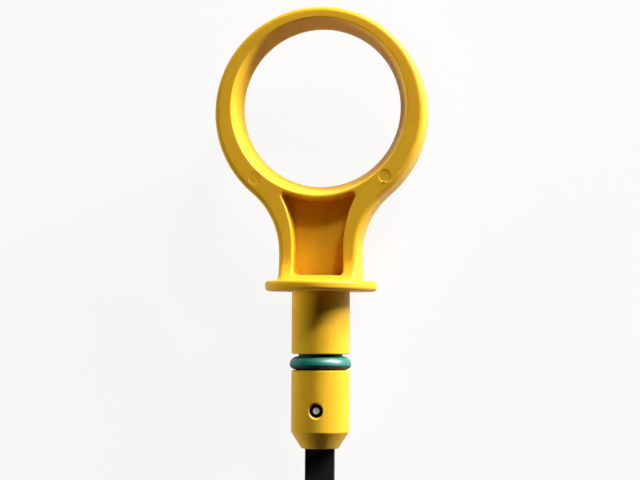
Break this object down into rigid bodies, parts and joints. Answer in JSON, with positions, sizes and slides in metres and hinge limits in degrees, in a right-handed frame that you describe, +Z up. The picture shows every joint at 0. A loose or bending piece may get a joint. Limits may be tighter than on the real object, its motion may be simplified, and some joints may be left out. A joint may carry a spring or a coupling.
{
  "type": "engine oil dipstick",
  "caption": "Car engine oil dipstick: moulded ring-pull handle with a recessed neck, seating flange and plug with an O-ring, pinned to a long flat steel blade for reading the oil level.",
  "frame": {"origin": "on the plug's axis at the flange's seat, where the stick stops against the mouth of its tube", "axes": "+Y along the stick from the blade's tip towards the ring, level with the floor it lies on; +Z up out of the ring's front face; +X across"},
  "size_m": [0.0392, 0.3027, 0.0208],
  "materials": {
    "handle_plastic": "satin moulded yellow",
    "seal_rubber": "smooth teal green",
    "blade_steel": "black oxide",
    "pin_steel": "turned bright steel"
  },
  "bodies": {
    "root": {"handle": "handle_plastic", "o_ring": "seal_rubber", "blade": "blade_steel", "cross_pin": "pin_steel"}
  },
  "joints": []
}
